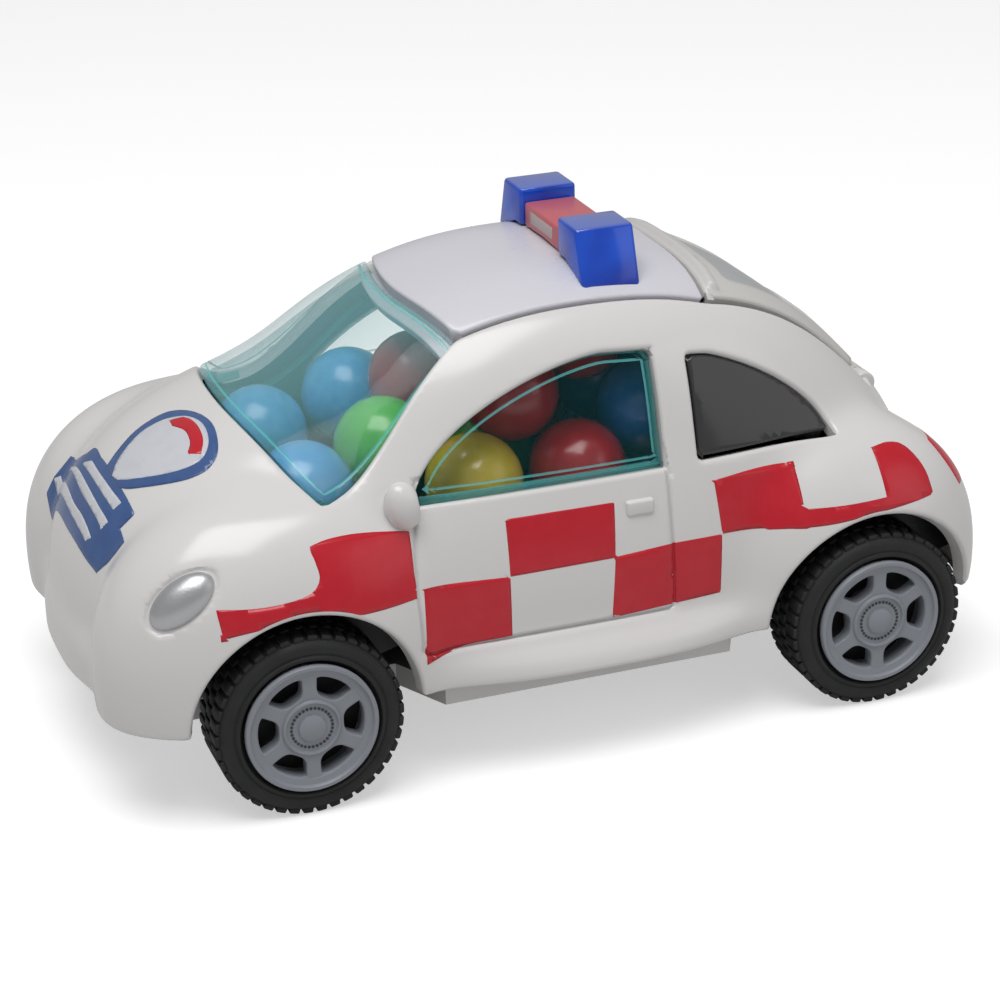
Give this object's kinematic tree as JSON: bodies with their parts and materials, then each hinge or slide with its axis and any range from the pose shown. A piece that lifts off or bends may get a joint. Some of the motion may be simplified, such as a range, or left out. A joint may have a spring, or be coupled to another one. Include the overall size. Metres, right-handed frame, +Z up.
{
  "type": "toy car",
  "caption": "Moulded toy car with a clear canopy over a hold of round sweets, a hinged rear hatch, a twin-lens roof bar and free-rolling spoked wheels.",
  "frame": {"origin": "middle of the car's bounding box, at the floor under the tyres", "axes": "+Z up, +X towards the tail, -X towards the nose, +Y towards the car's right side, whose door is away from the camera in the picture"},
  "size_m": [0.1174, 0.063, 0.0616],
  "materials": {
    "white_abs": "gloss",
    "cool_white_abs": "gloss",
    "warm_white_abs": "gloss",
    "teal_clear_styrene": "clear tinted",
    "black_styrene": "gloss",
    "silver_plated_styrene": "satin plated",
    "blue_clear_styrene": "clear tinted",
    "red_styrene": "gloss",
    "black_abs": "satin",
    "grey_abs": "satin",
    "black_soft_vinyl": "matt",
    "drawn_steel": "drawn",
    "sugar_glaze_blue": "glazed sugar",
    "sugar_glaze_red": "glazed sugar",
    "sugar_glaze_green": "glazed sugar",
    "sugar_glaze_deep_blue": "glazed sugar",
    "sugar_glaze_yellow": "glazed sugar"
  },
  "bodies": {
    "car": {"body_shell": "white_abs", "window_insert": "teal_clear_styrene", "roof_panel": "cool_white_abs", "quarter_window_left": "black_styrene", "quarter_window_right": "black_styrene", "headlight_left": "silver_plated_styrene", "headlight_right": "silver_plated_styrene", "lightbar_lens_left": "blue_clear_styrene", "lightbar_lens_right": "blue_clear_styrene", "lightbar_centre": "red_styrene", "candy_tub": "black_abs", "chassis": "white_abs", "chassis_screw_front": "drawn_steel", "chassis_screw_rear": "drawn_steel", "hatch_pin": "drawn_steel", "candy_01": "sugar_glaze_blue", "candy_02": "sugar_glaze_red", "candy_03": "sugar_glaze_green", "candy_04": "sugar_glaze_deep_blue", "candy_05": "sugar_glaze_yellow", "candy_06": "sugar_glaze_blue", "candy_07": "sugar_glaze_red", "candy_08": "sugar_glaze_green", "candy_09": "sugar_glaze_deep_blue", "candy_10": "sugar_glaze_yellow", "candy_11": "sugar_glaze_blue", "candy_12": "sugar_glaze_red", "candy_13": "sugar_glaze_green", "candy_14": "sugar_glaze_deep_blue", "candy_15": "sugar_glaze_yellow", "candy_16": "sugar_glaze_blue", "candy_17": "sugar_glaze_red", "candy_18": "sugar_glaze_green", "candy_19": "sugar_glaze_deep_blue", "candy_20": "sugar_glaze_yellow", "candy_21": "sugar_glaze_red", "candy_22": "sugar_glaze_red", "candy_23": "sugar_glaze_green", "candy_24": "sugar_glaze_blue", "candy_25": "sugar_glaze_blue", "candy_26": "sugar_glaze_green", "candy_27": "sugar_glaze_deep_blue", "candy_28": "sugar_glaze_green", "candy_29": "sugar_glaze_deep_blue", "candy_30": "sugar_glaze_red", "candy_31": "sugar_glaze_blue", "candy_32": "sugar_glaze_red"},
    "front_wheelset": {"front_axle": "drawn_steel", "rim_front_left": "grey_abs", "tyre_front_left": "black_soft_vinyl", "rim_front_right": "grey_abs", "tyre_front_right": "black_soft_vinyl"},
    "rear_wheelset": {"rear_axle": "drawn_steel", "rim_rear_left": "grey_abs", "tyre_rear_left": "black_soft_vinyl", "rim_rear_right": "grey_abs", "tyre_rear_right": "black_soft_vinyl"},
    "hatch": {"rear_hatch": "warm_white_abs"}
  },
  "joints": [
    {"name": "front_wheels_roll", "type": "hinge", "parent": "car", "child": "front_wheelset", "pos_m": [-0.03491, 0, 0.0116], "axis": [0, 1, 0], "continuous": true},
    {"name": "rear_wheels_roll", "type": "hinge", "parent": "car", "child": "rear_wheelset", "pos_m": [0.03909, 0, 0.0116], "axis": [0, 1, 0], "continuous": true},
    {"name": "hatch_lift", "type": "hinge", "parent": "car", "child": "hatch", "pos_m": [0.04669, 0, 0.0352], "axis": [0, 1, 0], "range_deg": [0, 80]}
  ]
}
